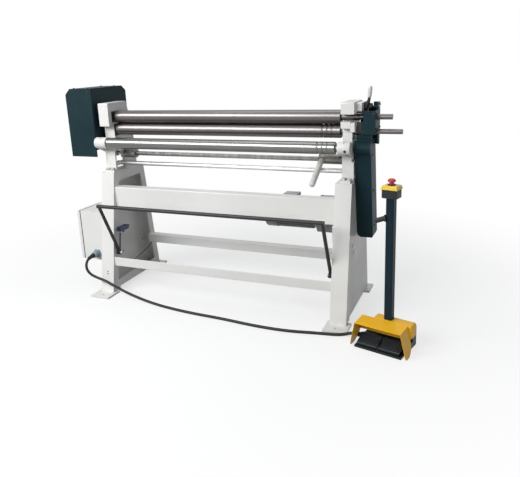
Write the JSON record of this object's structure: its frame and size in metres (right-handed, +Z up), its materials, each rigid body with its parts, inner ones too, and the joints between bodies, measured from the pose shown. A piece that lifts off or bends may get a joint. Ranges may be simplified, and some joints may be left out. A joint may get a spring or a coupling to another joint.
{
  "type": "electric plate rolling machine",
  "caption": "Motor-driven three-roll sheet metal bending machine on an open stand, with swing-adjusted bending roll, geared pinch rolls, trip bar, cabinet and foot control",
  "frame": {"origin": "middle of the rectangle of the four anchor holes, at floor level", "axes": "+X along the rolls from the geared end to the drive end, +Y from the operator to the back, +Z up"},
  "size_m": [1.9853, 0.7873, 1.162],
  "materials": {
    "frame_white": "gloss paint",
    "cover_blue": "textured paint",
    "head_white": "painted rough casting",
    "roll_steel": "turned and ground",
    "machined_steel": "turned",
    "zinc_steel": "zinc plated",
    "oiled_iron": "oily casting",
    "dark_iron": "oily casting",
    "grip_white": "smooth",
    "black_paint": "satin paint",
    "black_plastic": "satin",
    "black_rubber": "matte",
    "yellow_paint": "gloss paint",
    "yellow_plastic": "satin",
    "red_plastic": "smooth",
    "blue_plastic": "satin",
    "grey_plastic": "satin",
    "motor_grey": "satin paint",
    "light_plastic": "satin"
  },
  "bodies": {
    "frame": {"cabinet_fittings": "light_plastic", "cable_gland": "grey_plastic", "chain_cover": "cover_blue", "door_gasket": "black_rubber", "drive_chain": "dark_iron", "electric_cabinet": "frame_white", "end_block": "cover_blue", "estop_box": "black_plastic", "estop_cover": "yellow_plastic", "fan_cowl": "motor_grey", "frame_fasteners": "zinc_steel", "front_beam": "frame_white", "gear_back_plate": "cover_blue", "gear_cover": "cover_blue", "gearbox": "motor_grey", "gearbox_plate": "frame_white", "left_head": "head_white", "left_stand": "frame_white", "limit_switch": "blue_plastic", "lower_front_rail": "frame_white", "lower_rear_rail": "frame_white", "motor_body": "motor_grey", "output_bearing": "dark_iron", "pedal_base": "black_plastic", "pedal_cable": "black_rubber", "pedal_guard": "yellow_paint", "pedal_housing": "yellow_paint", "pedestal_post": "cover_blue", "post_handle": "black_plastic", "right_head": "head_white", "right_stand": "frame_white", "tie_rod": "zinc_steel", "upper_bearing": "dark_iron"},
    "upper_roll": {"upper_roll": "roll_steel", "upper_gear": "machined_steel"},
    "lower_carriage": {"lower_bearing_left": "dark_iron", "lower_bearing_right": "dark_iron"},
    "lower_roll": {"lower_roll": "roll_steel", "lower_gear": "machined_steel", "roll_sprocket": "machined_steel"},
    "screw_left": {"pinch_screw_left": "machined_steel"},
    "screw_right": {"pinch_screw_right": "machined_steel"},
    "bending_arms": {"cross_shaft": "machined_steel", "bending_arm_left": "head_white", "bending_arm_right": "head_white", "left_collar": "oiled_iron", "lever_collar": "oiled_iron", "hand_lever": "grip_white"},
    "bending_roll": {"bending_roll": "roll_steel"},
    "drive": {"drive_shaft": "machined_steel", "drive_sprocket": "machined_steel"},
    "release": {"release_gate": "machined_steel", "release_lever": "grip_white"},
    "trip": {"trip_bar": "black_paint"},
    "door": {"cabinet_door": "frame_white"},
    "lock": {"door_lock": "black_plastic"},
    "pedal_left": {"left_pedal": "black_plastic"},
    "pedal_right": {"right_pedal": "black_plastic"},
    "stop": {"estop_button": "red_plastic"}
  },
  "joints": [
    {"name": "upper_roll_spin", "type": "hinge", "parent": "frame", "child": "upper_roll", "pos_m": [0, -0.045, 1], "axis": [1, 0, 0], "continuous": true},
    {"name": "lower_roll_slide", "type": "slide", "parent": "frame", "child": "lower_carriage", "axis": [0, 0, -1], "range_m": [0, 0.003]},
    {"name": "lower_roll_spin", "type": "hinge", "parent": "lower_carriage", "child": "lower_roll", "pos_m": [0, -0.045, 0.9316], "axis": [1, 0, 0], "continuous": true},
    {"name": "screw_left_turn", "type": "hinge", "parent": "lower_carriage", "child": "screw_left", "pos_m": [-0.69, -0.045, 0.86], "axis": [0, 0, 1], "range_deg": [-545, 0]},
    {"name": "screw_right_turn", "type": "hinge", "parent": "lower_carriage", "child": "screw_right", "pos_m": [0.698, -0.045, 0.86], "axis": [0, 0, 1], "range_deg": [-545, 0]},
    {"name": "bending_arms_swing", "type": "hinge", "parent": "frame", "child": "bending_arms", "pos_m": [0, 0.005, 0.784], "axis": [-1, 0, 0], "range_deg": [0, 15]},
    {"name": "bending_roll_spin", "type": "hinge", "parent": "bending_arms", "child": "bending_roll", "pos_m": [0, -0.139, 0.863], "axis": [1, 0, 0], "continuous": true},
    {"name": "drive_spin", "type": "hinge", "parent": "frame", "child": "drive", "pos_m": [0.7, 0.015, 0.52], "axis": [1, 0, 0], "continuous": true},
    {"name": "release_gate_swing", "type": "hinge", "parent": "frame", "child": "release", "pos_m": [0.778, -0.017, 1.044], "axis": [-1, 0, 0], "range_deg": [0, 60]},
    {"name": "trip_bar_swing", "type": "hinge", "parent": "frame", "child": "trip", "pos_m": [0, -0.166, 0.232], "axis": [-1, 0, 0], "range_deg": [0, 8], "stiffness_Nm_per_rad": 20, "springref_deg": -28.65},
    {"name": "cabinet_door_swing", "type": "hinge", "parent": "frame", "child": "door", "pos_m": [-0.8995, 0.056, 0.313], "axis": [0, 0, -1], "range_deg": [0, 120]},
    {"name": "door_lock_turn", "type": "hinge", "parent": "door", "child": "lock", "pos_m": [-0.91, -0.129, 0.313], "axis": [-1, 0, 0], "range_deg": [0, 90]},
    {"name": "left_pedal_press", "type": "hinge", "parent": "frame", "child": "pedal_left", "pos_m": [0.87869, -0.36173, 0.034], "axis": [0.9681, -0.2504, 0], "range_deg": [0, 6], "stiffness_Nm_per_rad": 10, "springref_deg": -17.19},
    {"name": "right_pedal_press", "type": "hinge", "parent": "frame", "child": "pedal_right", "pos_m": [0.98131, -0.38827, 0.034], "axis": [0.9681, -0.2504, 0], "range_deg": [0, 6], "stiffness_Nm_per_rad": 10, "springref_deg": -17.19},
    {"name": "stop_button_press", "type": "slide", "parent": "frame", "child": "stop", "axis": [0, 0, -1], "range_m": [0, 0.004], "stiffness_N_per_m": 900, "springref_m": -0.006}
  ],
  "couplings": [
    {"joint": "lower_roll_spin", "follows": "upper_roll_spin", "ratio": -1},
    {"joint": "drive_spin", "follows": "upper_roll_spin", "ratio": -1},
    {"joint": "screw_left_turn", "follows": "lower_roll_slide", "rad_per_m": -3141.6},
    {"joint": "screw_right_turn", "follows": "lower_roll_slide", "rad_per_m": -3141.6}
  ]
}
